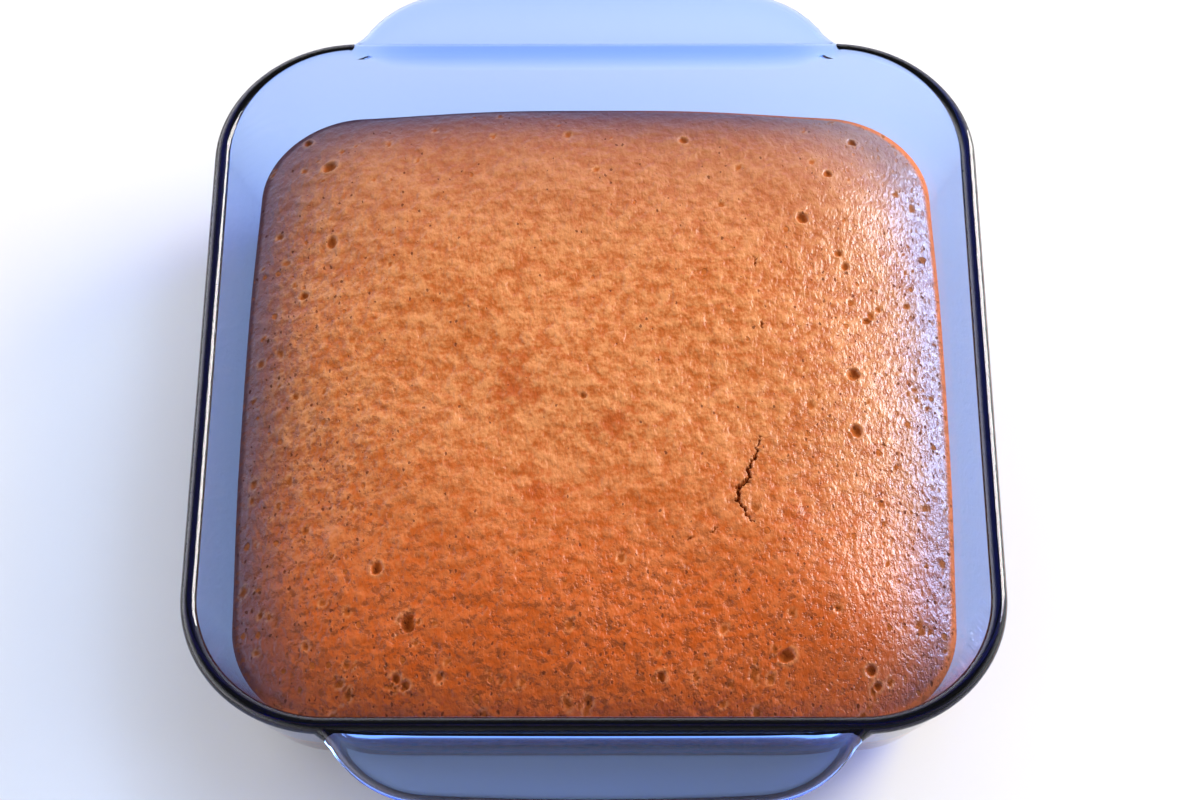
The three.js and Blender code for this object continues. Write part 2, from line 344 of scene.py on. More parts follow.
def handle_section(point, outward):
    """The ring of corners of one section, at a point of the outline and facing outward there."""
    top_z = DISH_HEIGHT - HANDLE_DROP
    root = outside_half(top_z - HANDLE_SCOOP) - RIM_HALF - WALL / 2
    round_edge = min(HANDLE_THICK / 2, HANDLE_EDGE_SHARE * (point.y - root))
    inner = point - outward * round_edge
    share = (inner.y - root) / (HANDLE_REACH - root)
    root_extra = (HANDLE_ROOT_THICK - HANDLE_THICK) * min(1, share / HANDLE_TAPER)
    under_root = outside_half(top_z - HANDLE_THICK - root_extra) - RIM_HALF - WALL / 2
    top, edge, under = [], [], []
    for step in range(ACROSS_STEPS + 1):
        out = (step / ACROSS_STEPS) ** CLOSER_AT_ROOT
        y = root + (inner.y - root) * out
        dip = HANDLE_SCOOP * share * (1 - out) ** HANDLE_SCOOP_POWER
        climb = max(0.0, 1 - (y - HANDLE_FILLET_START) / HANDLE_FILLET_WIDTH)
        run_up = HANDLE_FILLET * share * min(climb, 1) ** 2
        top.append(Vector((inner.x, y, top_z - dip + run_up)))
        thick = HANDLE_THICK + root_extra * (1 - out) ** HANDLE_UNDER_POWER
        under.append(Vector((inner.x, under_root + (inner.y - under_root) * out, top_z - thick)))
    for step in range(1, ROUND_STEPS):
        turn = math.pi * (0.5 - step / ROUND_STEPS)
        out = point + outward * round_edge * (math.cos(turn) - 1)
        edge.append(Vector((out.x, out.y, top_z - HANDLE_THICK / 2 * (1 - math.sin(turn)))))
    return [corner + Vector((0, RIM_HALF, 0)) for corner in (*top, *edge, *reversed(under))]


# %% The handles
def place_ring(piece, ring):
    """Moves the selected corners to a ring's places, each by its number in the ring."""
    mesh = bmesh.from_edit_mesh(piece.data)
    number = mesh.verts.layers.int["number"]
    for corner in mesh.verts:
        if corner.select:
            corner.co = ring[corner[number]]
    bmesh.update_edit_mesh(piece.data)


def loft(name, rings):
    """A closed piece through rings of equal length: one ring is drawn and extruded on and on."""
    piece = start("circle", name, vertices=len(rings[0]))
    mesh = bmesh.from_edit_mesh(piece.data)
    number = mesh.verts.layers.int.new("number")
    for place, corner in enumerate(mesh.verts):
        corner[number] = place
    place_ring(piece, rings[0])
    bpy.ops.mesh.edge_face_add()
    bpy.ops.mesh.select_mode(type="FACE")
    for ring in rings[1:]:
        bpy.ops.mesh.extrude_region()
        place_ring(piece, ring)
    bpy.ops.mesh.select_all(action="SELECT")
    bpy.ops.mesh.normals_make_consistent(inside=False)
    finish_editing(piece)
    return piece


outline = handle_outline()
sections = []
for before, point, after in zip([outline[0], *outline], outline, [*outline[1:], outline[-1]]):
    along = (after - before).normalized()
    sections.append(handle_section(point, Vector((along.y, -along.x))))
back_handle = loft("back_handle", sections)

bpy.ops.object.select_all(action="DESELECT")
back_handle.select_set(True)
bpy.ops.object.duplicate()
front_handle = bpy.context.object
front_handle.data.transform(Matrix.Rotation(math.pi, 4, "Z"))

# %% One piece of glass
def join(piece, others):
    """Unites a piece with others by Boolean modifiers, and removes the others."""
    bpy.context.view_layer.objects.active = piece
    for other in others:
        union = piece.modifiers.new("Union", "BOOLEAN")
        union.operation = "UNION"
        union.object = other
        bpy.ops.object.modifier_apply(modifier=union.name)
        bpy.data.objects.remove(other)


join(bowl, [back_handle, front_handle])
print("glass dish:", len(bowl.data.polygons), "faces")

# %% [markdown]
# Smooth shading blends the normals of neighbouring faces. On clear glass that bends the view
# through a large flat wall, because its edge normals lean towards the round rim. A Weighted
# Normal modifier lets the largest face at each corner decide, so the walls stay true and only
# the small faces between them turn.

# %% Shading the glass
bpy.ops.object.select_all(action="DESELECT")
bowl.select_set(True)
bpy.ops.object.shade_smooth_by_angle(angle=math.radians(40))
weigh = bowl.modifiers.new("Weigh", "WEIGHTED_NORMAL")
weigh.keep_sharp = True
bpy.ops.object.modifier_apply(modifier=weigh.name)

# %% [markdown]
# ## The cake's outline
#
# The cake fills its dish, so its outline is the dish's own inner wall. It starts as a fine flat
# grid. A Geometry Nodes modifier rounds the grid's corners to that outline: each point moves
# straight in towards the middle, most at the edge, so that the grid's cells stay even.

# %% Sizes of the cake
INTO_GLASS = 0.12 * mm  # the cake reaches this far into the wall, so no air shows between them
SIDE_TOP = DISH_HEIGHT - 20 * mm  # the crust's edge, at the middle of a side
CORNER_DROP = 3.8 * mm  # how much lower the edge lies in the corners
CORNER_POWER = 4
CROWN = DISH_HEIGHT - 9.5 * mm
DOME_POWER = 4  # the higher, the flatter the middle and the steeper the sides
BLUR_STEPS = 500  # how far the dome's turn from one side's slope to the next is evened out
SHOULDER_DROP = 1.4 * mm  # the very edge is rounded down by this much
SHOULDER_WIDTH = 2.2 * mm
SWELL = 0.45 * mm
SWELL_POWER = 8  # the higher, the nearer to the edge the swells reach
STRAIGHT = RIM_HALF - RIM_CORNER  # half of a side's straight part, the same at every level
CAKE_HALF = inside_half(SIDE_TOP) + INTO_GLASS
CELLS = 258  # along each side of the grid


def wall_reach(half, lean_share):
    """How far the outline lies from the middle for a point with sides 1 and `lean_share`."""
    tree = lean_share.tree
    corner = half - STRAIGHT
    both = (lean_share + 1) * STRAIGHT
    square = lean_share * lean_share + 1
    root = both * both - square * (2 * STRAIGHT ** 2 - corner * corner)
    rounded = (both + root.of("MAXIMUM", 0).of("SQRT")) / square
    in_corner = (lean_share * half).of("GREATER_THAN", STRAIGHT)
    return rounded * in_corner + half * (1 - in_corner)


def modifier_tree(name):
    """A Geometry Nodes tree with its geometry in and out. Returns the tree and the input."""
    tree = bpy.data.node_groups.new(name, "GeometryNodeTree")
    tree.is_modifier = True
    tree.interface.new_socket("Geometry", in_out="INPUT", socket_type="NodeSocketGeometry")
    tree.interface.new_socket("Geometry", in_out="OUTPUT", socket_type="NodeSocketGeometry")
    return tree, add(tree, "NodeGroupInput")


def store(shape, name, value):
    """Keeps a value on every point, under a name that a later tree or a material can read."""
    inputs = {"Geometry": shape, "Name": name, "Value": value}
    return add(shape.tree, "GeometryNodeStoreNamedAttribute", inputs, data_type="FLOAT", domain="POINT")


def stored(tree, name):
    return add(tree, "GeometryNodeInputNamedAttribute", {"Name": name}, data_type="FLOAT")


def apply_tree(piece, shape):
    """Ends a tree with a shape, puts it on a piece as a modifier, and applies it."""
    tree = shape.tree
    feed(tree, shape, tree.nodes.new("NodeGroupOutput").inputs[0])
    modifier = piece.modifiers.new(tree.name, "NODES")
    modifier.node_group = tree
    bpy.context.view_layer.objects.active = piece
    bpy.ops.object.modifier_apply(modifier=modifier.name)


# %% The grid, rounded to the dish
cake = start("grid", "cake_crust", x_subdivisions=CELLS, y_subdivisions=CELLS, size=2 * CAKE_HALF)
finish_editing(cake)

tree, shape = modifier_tree("round_to_the_dish")
place = add(tree, "GeometryNodeInputPosition")
x, y = place.part("X"), place.part("Y")
longer = x.of("ABSOLUTE").of("MAXIMUM", y.of("ABSOLUTE")).of("MAXIMUM", 0.01 * mm)
shorter = x.of("ABSOLUTE").of("MINIMUM", y.of("ABSOLUTE"))
share = longer / CAKE_HALF
lean_share = shorter / longer
into_corner = 2 * lean_share / (lean_share * lean_share + 1)
side_top = SIDE_TOP - CORNER_DROP * into_corner ** CORNER_POWER
edge_half = CAKE_HALF - WALL_LEAN * (SIDE_TOP - side_top + SHOULDER_DROP)
pull = 1 - (1 - wall_reach(edge_half, lean_share) / CAKE_HALF) * share ** 3
moved = vector(tree, x * pull, y * pull, 0)


def blurred(value, data_type):
    """A value evened out between neighbours, less and less towards the edge."""
    inputs = {"Value": value, "Iterations": BLUR_STEPS, "Weight": 1 - share ** 12}
    return add(tree, "GeometryNodeBlurAttribute", inputs, data_type=data_type)


shape = store(shape, "share", blurred(share, "FLOAT"))
shape = store(shape, "side_top", side_top)
inputs = {"Geometry": shape, "Position": blurred(moved, "FLOAT_VECTOR")}
shape = add(tree, "GeometryNodeSetPosition", inputs)
apply_tree(cake, shape)

# %% [markdown]
# ## Burst bubbles and the crack
#
# Gas breaks through the crust while it sets, and leaves round holes with a raised lip, painted
# pale as a highlight. One crack runs down the right of the middle, with a few short ones near it.
# Each hollow is a point with a width and a depth: the large bubbles are listed, smaller ones are
# scattered by a seeded draw, denser towards the sides, and a crack is a row of close points.
# Cutting each hollow with a Boolean would be slow and leave ragged triangles, so the height of a
# fine grid is lowered instead, and the grid is made finer near the large bubbles and the cracks first.

# %% Where the hollows are
# The larger bubbles, in millimetres: x, y and width
BUBBLES = [
    (-50.2, -73.8, 5.0), (-59.4, -57.7, 3.2), (52.0, -82.6, 4.0), (75.1, -85.7, 3.0),
    (76.7, -89.6, 2.6), (18.1, -88.8, 3.0), (60.5, 55.6, 3.4), (73.4, 3.3, 4.0),
    (73.5, -15.0, 3.4), (77.9, 21.9, 2.4), (-76.9, 49.1, 3.2), (-79.2, 77.4, 3.6),
    (-86.5, 89.5, 2.8), (68.7, 72.6, 2.6), (76.7, 87.3, 2.8), (70.7, 44.1, 2.2),
    (72.5, 39.8, 2.4), (-53.5, -88.7, 3.0), (-51.0, -90.3, 2.4), (26.2, 85.6, 2.6),
    (-84.3, 31.0, 2.6), (-3.2, -5.4, 1.8),
]
CRACK = [
    (46.6, -17.6), (45.0, -21.6), (45.2, -24.0), (43.0, -28.4), (42.6, -31.6), (39.4, -34.4),
    (39.9, -36.6), (39.2, -38.2), (41.4, -41.0), (41.8, -42.8), (44.8, -45.4),
]
SIDE_CRACKS = [
    [(34.1, -46.0), (31.6, -48.2)], [(27.5, -49.2), (25.8, -50.6)],
    [(46.4, 41.3), (46.0, 37.5)], [(47.8, 20.6), (47.7, 16.6)],
]
BUBBLE_DEPTH = 0.38  # share of a bubble's width
CRACK_WIDTH, CRACK_DEPTH = 1.05 * mm, 1.7 * mm
SIDE_CRACK_WIDTH, SIDE_CRACK_DEPTH = 0.7 * mm, 0.6 * mm
CRACK_BEAD = 0.22 * mm  # from one point of a crack to the next
SWAY_KEPT = 0.75  # share of the last point's sway that the next one keeps
SWAY_STEP = 0.3
Hollow = namedtuple("Hollow", "spot width depth long turn")


def crack_beads(line, width, depth):
    """Close hollows along a line that sways a little, wider and deeper towards its middle."""
    corners = [Vector(corner) * mm for corner in line]
    beads = []
    sway = 0
    for number, (a, b) in enumerate(zip(corners, corners[1:])):
        steps = max(1, round((b - a).length / CRACK_BEAD))
        aside = (b - a).normalized().orthogonal()
        for step in range(steps):
            along = (number + step / steps) / (len(corners) - 1)
            opened = (0.3 + 0.7 * math.sin(math.pi * along)) * draw.uniform(0.6, 1.4)
            sway = SWAY_KEPT * sway + draw.uniform(-SWAY_STEP, SWAY_STEP) * mm
            spot = a.lerp(b, step / steps) + aside * sway
            beads.append(Hollow(spot, width * opened, depth * opened, 1, 0))
    return beads


draw = random.Random(7)
hollows = []
for x, y, width in BUBBLES:
    long, turn = draw.uniform(1.0, 1.35), draw.uniform(0, math.pi)
    hollows.append(Hollow(Vector((x, y)) * mm, width * mm, BUBBLE_DEPTH * width * mm, long, turn))
large = len(hollows)
hollows += crack_beads(CRACK, CRACK_WIDTH, CRACK_DEPTH)
for line in SIDE_CRACKS:
    hollows += crack_beads(line, SIDE_CRACK_WIDTH, SIDE_CRACK_DEPTH)
refined = len(hollows)

# %% The scattered bubbles
SCATTERED = 170
SCATTERED_OUT = 0.97  # they lie within this share of the cake's half width
SCATTERED_WIDTH = 2.2 * mm
SCATTERED_DEPTH = 0.3  # share of a bubble's width
SCATTERED_POWER = 4  # how much denser they get towards the sides

while len(hollows) < refined + SCATTERED:
    spot_x = draw.uniform(-SCATTERED_OUT, SCATTERED_OUT)
    spot_y = draw.uniform(-SCATTERED_OUT, SCATTERED_OUT)
    spot = Vector((spot_x, spot_y)) * CAKE_HALF
    outer = max(abs(spot.x), -spot.y, 0.6 * spot.y) / CAKE_HALF
    width = SCATTERED_WIDTH * draw.uniform(0.45, 1) ** 1.5
    if draw.random() < outer ** SCATTERED_POWER:
        long = 1 + draw.random() * outer
        hollows.append(Hollow(spot, width, SCATTERED_DEPTH * width, long, draw.uniform(-0.5, 0.5)))
print(len(hollows), "hollows, of which", large, "large bubbles")

# %% The guide for the hollows, and a finer grid near them
guide_mesh = bpy.data.meshes.new("hollows")
guide_mesh.from_pydata([(hollow.spot.x, hollow.spot.y, 0) for hollow in hollows], [], [])
for name in ("width", "depth", "long", "turn"):
    values = guide_mesh.attributes.new(name, "FLOAT", "POINT")
    for number, hollow in enumerate(hollows):
        values.data[number].value = getattr(hollow, name)
guide = bpy.data.objects.new("hollows", guide_mesh)
bpy.context.scene.collection.objects.link(guide)


def refine(piece, nearby, margin, cuts):
    """Subdivides the faces that lie within a margin of any of the hollows."""
    def close(face):
        middle = face.calc_center_median()
        return any(
            (hollow.spot - middle.xy).length < hollow.width / 2 * hollow.long + margin
            for hollow in nearby
        )
    select(piece, "FACE", close)
    bpy.ops.mesh.subdivide(number_cuts=cuts)


bpy.ops.object.select_all(action="DESELECT")
cake.select_set(True)
bpy.context.view_layer.objects.active = cake
bpy.ops.object.mode_set(mode="EDIT")
refine(cake, hollows[:large], margin=0.9 * mm, cuts=1)
refine(cake, hollows[large:refined:2], margin=0.5 * mm, cuts=2)
finish_editing(cake)

# %% [markdown]
# ## The crust's height
#
# The baked top is a low dome: nearly flat in the middle, steeper towards the glass, lower in
# the corners and rounded at its very edge. On it lie slow swells, then ripples and dimples like
# orange peel, weaker on the smoother right side, then the hollows. Sculpting would do this too,
# but as one term of the height each can be changed by a number. A point belongs to the nearest
# hollow, looked up at a slightly shifted place, which makes the hollows' edges ragged.

# %% The dome and its swells
PEEL_SIZE, PEEL_HEIGHT = 4.2 * mm, 1.0 * mm
RIPPLE_SIZE, RIPPLE_HEIGHT = 13 * mm, 0.7 * mm
SMOOTHER_RIGHT = 0.5  # share of the peel that the right side lacks

tree, shape = modifier_tree("raise_the_crust")
place = add(tree, "GeometryNodeInputPosition")
x, y = place.part("X") / mm, place.part("Y") / mm
share, side_top = stored(tree, "share"), stored(tree, "side_top")
inset = (1 - share) * CAKE_HALF
dome = CROWN - (CROWN - side_top) * share ** DOME_POWER
shoulder = SHOULDER_DROP * maths(tree, "POWER", math.e, 0 - inset / SHOULDER_WIDTH)
# Waves 5 to 13 centimetres long that cross at several angles, so that no pattern shows
waves = (
    (x / 17 + 0.6).of("SINE") * (y / 21 - 0.4).of("COSINE")
    + 0.6 * ((x + y) / 11.5 + 1.9).of("SINE")
    + 0.5 * ((x - 1.4 * y) / 14 + 0.8).of("COSINE")
)
swell = SWELL * waves * (1 - share ** SWELL_POWER)
peel = (
    noise(tree, place, PEEL_SIZE, detail=1.5) * PEEL_HEIGHT
    + noise(tree, place, RIPPLE_SIZE, detail=1) * RIPPLE_HEIGHT
) * share.rise(1.0, 0.975) * (1 - SMOOTHER_RIGHT * x.rise(25, 80))

# %% The hollows
HOLLOW_POWER = 0.7  # below 1, a hollow has steep sides and a flatter bottom
LIP_RING = 1.25  # where the lip lies, in half widths of the hollow
LIP_WIDTH = 0.28
LIP_HEIGHT = 0.12  # share of the hollow's depth

guide_info = add(tree, "GeometryNodeObjectInfo", {"Object": guide}, output="Geometry")
ragged_x = noise(tree, place, 0.9 * mm) * (0.6 * mm) + noise(tree, place, 2.3 * mm) * (1.1 * mm)
ragged_y = noise(tree, place, 1.1 * mm) * (0.6 * mm) + noise(tree, place, 2.7 * mm) * (1.1 * mm)
ragged = vector(tree, place.part("X") + ragged_x, place.part("Y") + ragged_y, 0)
nearest = add(tree, "GeometryNodeSampleNearest", {"Geometry": guide_info, "Sample Position": ragged})


def of_nearest(value, data_type="FLOAT"):
    """A value of the guide's point that is nearest."""
    inputs = {"Geometry": guide_info, "Value": value, "Index": nearest}
    return add(tree, "GeometryNodeSampleIndex", inputs, data_type=data_type)


hollow_place = of_nearest(add(tree, "GeometryNodeInputPosition"), "FLOAT_VECTOR")
width, depth, long, turn = (of_nearest(stored(tree, name)) for name in ("width", "depth", "long", "turn"))
off_x, off_y = (ragged.part(axis) - hollow_place.part(axis) for axis in ("X", "Y"))
across = off_x * turn.of("COSINE") - off_y * turn.of("SINE")
along = (off_x * turn.of("SINE") + off_y * turn.of("COSINE")) / long
ring = (across * across + along * along).of("SQRT") / (width / 2)
inside = (1 - ring * ring).of("MAXIMUM", 0)
lip = (0 - ((ring - LIP_RING) / LIP_WIDTH) ** 2).of("MAXIMUM", -20)
lip = maths(tree, "POWER", math.e, lip)
shape = store(shape, "hollow", inside)
shape = store(shape, "lip", lip)
height = dome - shoulder + swell + peel - depth * inside ** HOLLOW_POWER + depth * LIP_HEIGHT * lip
raised = vector(tree, place.part("X"), place.part("Y"), height)
shape = add(tree, "GeometryNodeSetPosition", {"Geometry": shape, "Position": raised})
apply_tree(cake, shape)
bpy.data.objects.remove(guide)
print("crown at", round(max(corner.co.z for corner in cake.data.vertices) / mm, 1), "mm")

# %% [markdown]
# ## The sides and the bottom
#
# Below the crust the cake touches the glass everywhere. The open border is extruded down ring
# by ring, and each ring is put on the glass wall at its height, a hair inside it. The last ring
# is closed by one flat face, on the bottom of the dish.

# %% Down the wall
def on_wall(corner, z, half):
    """The point of the wall's rounded outline at a half width, straight out past a corner."""
    a, b = max(abs(corner.x), abs(corner.y)), min(abs(corner.x), abs(corner.y))
    radius = half - STRAIGHT
    if b / a * half <= STRAIGHT:
        reach = half / a
    else:
        both = STRAIGHT * (a + b)
        square = a * a + b * b
        reach = (both + math.sqrt(both ** 2 - square * (2 * STRAIGHT ** 2 - radius ** 2))) / square
    return Vector((corner.x * reach, corner.y * reach, z))


WALL_LEVELS = (27 * mm, 23 * mm, 19 * mm)
BEND_STEPS = 7  # round the turn from the wall to the bottom

low_levels = fillet(inside_half, FLOOR, FLOOR + INSIDE_FILLET, BEND_STEPS)
levels = [Vector((inside_half(z), z)) for z in WALL_LEVELS] + low_levels
cake.data.attributes.active = cake.data.attributes["share"]
bpy.ops.object.select_all(action="DESELECT")
cake.select_set(True)
bpy.ops.object.mode_set(mode="EDIT")
select_border()
for level in levels:
    bpy.ops.mesh.extrude_region()
    mesh = bmesh.from_edit_mesh(cake.data)
    for corner in mesh.verts:
        if corner.select:
            corner.co = on_wall(corner.co, level.y - INTO_GLASS, level.x + INTO_GLASS)
    bmesh.update_edit_mesh(cake.data)
bpy.ops.mesh.edge_face_add()
bpy.ops.mesh.select_all(action="SELECT")
bpy.ops.mesh.normals_make_consistent(inside=False)
finish_editing(cake)
bpy.ops.object.shade_smooth()

# %% [markdown]
# ## Blue glass
#
# The glass is clear and tinted all through: a thin wall looks pale blue, and the rim, where the
# light has come up the whole wall, nearly black. So the colour isn't painted on the surface but
# absorbed inside, by a volume. A surface colour would be the same at any thickness. Cycles
# gives glass a solid shadow, so shadow rays pass a plain, faintly tinted transparent surface.

# %% The glass material
ABSORB_RED, ABSORB_GREEN, ABSORB_BLUE = 150, 90, 4  # per metre of glass
SHADOW_TINT = (0.90, 0.94, 1.0, 1)


def material_tree(name):
    material = bpy.data.materials.new(name)
    material.use_nodes = True
    material.node_tree.nodes.clear()
    return material, material.node_tree


glass, tree = material_tree("blue_pressed_glass")
clear = add(tree, "ShaderNodeBsdfPrincipled", {
    "Base Color": (1, 1, 1, 1), "Roughness": 0.015, "IOR": 1.47, "Transmission Weight": 1.0,
})
passing = add(tree, "ShaderNodeBsdfTransparent", {"Color": SHADOW_TINT})
shadow = add(tree, "ShaderNodeLightPath", output="Is Shadow Ray")
surface = add(tree, "ShaderNodeMixShader", {"Fac": shadow, 1: clear, 2: passing})
density = ABSORB_RED  # each colour loses density * (1 - tint) per metre, so red loses it all
tint = (1 - ABSORB_RED / density, 1 - ABSORB_GREEN / density, 1 - ABSORB_BLUE / density, 1)
inside_glass = add(tree, "ShaderNodeVolumeAbsorption", {"Color": tint, "Density": density})
finish_material(surface, volume=inside_glass)

# %% [markdown]
# ## Baked crust
#
# The crust is golden on the crown and orange-brown in its dimples: the noise that bumps the peel
# also pales its ridges and darkens its dips, which is painted highlight and painted shade. It turns
# redder towards the front and browner towards the back and the glass, and has a few redder patches.
# The brown near the glass holds a painted mauve reflection and is spared on the right, where the
# window's light is painted in. A thin strip at the very edge, where it met the glass, is painted
# light too: dark in shade on the left, and a bright, lit red on the right and in front.
# A painted image could show all this, but it would blur close up. So the colours are mixed one
# over the other by noises in object coordinates, which stay sharp at any distance, and by the
# values stored on the grid, which tell where the edge, the hollows and their lips are.

# %% The crust material
def mix(amount, first, second):
    """Mixes two colours by an amount from 0 to 1."""
    tree = amount.tree
    node = tree.nodes.new("ShaderNodeMix")
    node.data_type = "RGBA"
    for value, socket in ((amount, 0), (first, 6), (second, 7)):
        feed(tree, value, node.inputs[socket])
    return Value(tree, node.outputs[2])


GOLDEN = (0.58, 0.222, 0.074, 1)
ORANGE_BROWN = (0.40, 0.090, 0.011, 1)
RED_PATCH = (0.36, 0.062, 0.004, 1)
BACK_BROWN = (0.30, 0.105, 0.045, 1)
EDGE_BROWN_AND_MAUVE_REFLECTION = (0.17, 0.058, 0.042, 1)
TOASTED = (0.23, 0.046, 0.006, 1)
FRONT_RED = (0.50, 0.078, 0.004, 1)
STRIP_SHADED_DARK = (0.12, 0.035, 0.022, 1)
STRIP_LIT_RED = (0.80, 0.150, 0.020, 1)
PIT_SHADE_BROWN = (0.42, 0.120, 0.030, 1)
HOLE_SHADE = (0.09, 0.018, 0.004, 1)
HOLLOW_BROWN_AND_SHADE = (0.38, 0.088, 0.011, 1)
LIP_HIGHLIGHT = (0.66, 0.30, 0.12, 1)
# Redder spots on the crown: x, y and radius in millimetres
RED_SPOTS = [(-23.3, -2.7, 10.0), (4.4, -13.1, 8.0), (-15.0, -35.1, 8.0)]

crust, tree = material_tree("baked_crust")
place = add(tree, "ShaderNodeTexCoord", output="Object")
x, y, z = place.part("X"), place.part("Y"), place.part("Z")
share = add(tree, "ShaderNodeAttribute", output="Fac", attribute_name="share")
hollow = add(tree, "ShaderNodeAttribute", output="Fac", attribute_name="hollow")
lip = add(tree, "ShaderNodeAttribute", output="Fac", attribute_name="lip")

mottle = noise(tree, place, 22 * mm, detail=2)
blotch = noise(tree, place, 6 * mm, detail=1)
peel = noise(tree, place, 3.2 * mm, detail=1.5)
speckle = noise(tree, place, 1.5 * mm, detail=2, roughness=0.6)
fleck = noise(tree, place, 0.8 * mm, detail=2, roughness=0.6)
# The peel noise is also the bump's relief, so here it paints shade in its dips and a highlight on its
# ridges. Mottle, blotch, speckle and fleck are the crust's own uneven tone.
shade = mottle * 0.6 + blotch * 0.6 + peel * 1.5 + speckle + fleck * 0.8
colour = mix((shade + 0.5).rise(0.05, 0.95), ORANGE_BROWN, GOLDEN)


def soft_spot(spot_x, spot_y, radius):
    """1 at a place on the crust, falling softly and unevenly to 0 at a radius."""
    off_x, off_y = x - spot_x * mm, y - spot_y * mm
    away = (off_x * off_x + off_y * off_y).of("SQRT")
    uneven = blotch + peel + speckle
    return (away + uneven * (1.3 * radius * mm)).rise(radius * mm, 0)


patch = (noise(tree, place, 16 * mm, detail=2) + speckle * 0.3).rise(0.18, 0.34)
for spot in RED_SPOTS:
    patch = patch.of("MAXIMUM", soft_spot(*spot))
colour = mix((patch * (0.8 + speckle * 1.5)).of("MINIMUM", 1), colour, RED_PATCH)
colour = mix(y.rise(25 * mm, 95 * mm) * 0.6, colour, BACK_BROWN)
colour = mix((y * -1).rise(8 * mm, 85 * mm) * 0.8, colour, FRONT_RED)
# Towards the glass the crust browns. The brown also holds a painted mauve reflection, and the right side,
# which the window lights, is spared as painted light; the front is spared to stay red.
toward_edge = (share + mottle * 0.06).rise(0.80, 1.0)
front_side = (0 - y - x.of("ABSOLUTE")).rise(-12 * mm, 25 * mm)
at_right = (x + mottle * (12 * mm)).rise(40 * mm, 85 * mm)
spared_front_and_lit_right = (front_side * 0.8).of("MAXIMUM", at_right * 0.55)
colour = mix(toward_edge * (0.85 - spared_front_and_lit_right), colour, EDGE_BROWN_AND_MAUVE_REFLECTION)
# The strip at the very edge is painted light: dark, in shade, on the left, and a bright lit red on the
# right and at the front.
strip = (share + speckle * 0.01).rise(0.979, 0.991)
strip_painted_light = mix(x.rise(-20 * mm, 70 * mm).of("MAXIMUM", front_side), STRIP_SHADED_DARK, STRIP_LIT_RED)
colour = mix(strip * 0.85, colour, strip_painted_light)
# A painted highlight: the raised lips round the hollows are paled.
colour = mix(lip * 0.4, colour, LIP_HIGHLIGHT)
# Inside the hollows and the crack the colour turns a darker orange-brown: the crumb's colour, with
# painted shade in the recess.
colour = mix(hollow.rise(0.0, 0.7) * 0.8, colour, HOLLOW_BROWN_AND_SHADE)

# %% [markdown]
# ## Pinholes and toasted flecks
#
# Countless small bubbles open at the surface, most near the front and sides. As real holes they
# would take millions of triangles, so they are a pattern of cells: some cells, picked by lot,
# hold a hole, and a shifted place makes its outline ragged. Each hole is painted dark, which is the
# shade inside it. The pattern is flat and would draw streaks down the upright sides, so it stops at
# the top's edge. The moist right side also has long, shallow pits, painted a little darker for the
# shade in them. Near the front and sides, the crust is toasted darker where a fine noise is high.

# %% Pinholes
ragged_place = add(tree, "ShaderNodeTexNoise", {"Vector": place, "Scale": 1 / (1.3 * mm)}, output="Color")
ragged_place = add(tree, "ShaderNodeVectorMath", {0: ragged_place, "Scale": 1.1 * mm}, operation="SCALE")
ragged_place = add(tree, "ShaderNodeVectorMath", {0: place, 1: ragged_place})


def pinholes(size, chance, along=1.0, low=0.09, high=0.29):
    """Ragged holes of uneven radius in some cells of a pattern. 1 in a hole and 0 outside."""
    stretched = vector(tree, ragged_place.part("X"), ragged_place.part("Y") / along, 0)
    inputs = {"Vector": stretched, "Scale": 1 / size, "Randomness": 1.0}
    node = tree.nodes.new("ShaderNodeTexVoronoi")
    node.voronoi_dimensions = "2D"
    for name, value in inputs.items():
        feed(tree, value, node.inputs[name])
    middle = Value(tree, node.outputs["Distance"])
    lots = Value(tree, node.outputs["Color"])
    radius = low + (high - low) * lots.part("Y") ** 2
    return (radius - middle).rise(0.0, 0.12) * lots.part("X").of("LESS_THAN", chance)


near_side = (share + mottle * 0.1).rise(0.35, 1.0) * y.rise(95 * mm, 10 * mm)
on_top = share.rise(1.0, 0.99)
fine_holes = pinholes(1.7 * mm, (near_side * 0.42 + 0.04) * on_top, along=1.5)
wide_holes = pinholes(4.0 * mm, (near_side * 0.24 + 0.02) * on_top, along=1.3)
holes = fine_holes.of("MAXIMUM", wide_holes)
front_crust = (share + mottle * 0.1).rise(0.15, 0.75) * (y + mottle * (25 * mm)).rise(45 * mm, -35 * mm)
pits = pinholes(1.5 * mm, at_right * 0.75 * on_top, along=2.4, low=0.14, high=0.36)
toasting = noise(tree, place, 2.2 * mm, detail=3, roughness=0.65)
toasted = (toasting + speckle * 0.4).rise(-0.03, 0.17) * near_side.of("MAXIMUM", front_crust)
colour = mix(toasted * (0.8 - at_right * 0.4), colour, TOASTED)
# The right side's pits are painted a darker brown, the shade inside each pit.
colour = mix(pits * 0.35, colour, PIT_SHADE_BROWN)
# Wide pinholes get the same darker brown, painted shade in the hole.
colour = mix(wide_holes * 0.75, colour, HOLLOW_BROWN_AND_SHADE)
# Fine pinholes are painted nearly black: the shade deep inside each hole.
colour = mix(fine_holes * 0.75, colour, HOLE_SHADE)
open_pores = holes.of("MAXIMUM", pits * 0.7).of("MAXIMUM", hollow.rise(0, 0.4))

# %% [markdown]
# ## Relief and sheen
#
# Grain and dimples finer than the grid's cells are left to bump, drawn out a little from front
# to back. Fat and sugar leave a moist film, thickest here on the right side. That is a second,
# glossier layer over a rough crust, which is what Coat is for. A lower roughness alone would
# make the crumb itself look wet. The coat is kept off open pores, so that they stay dark.

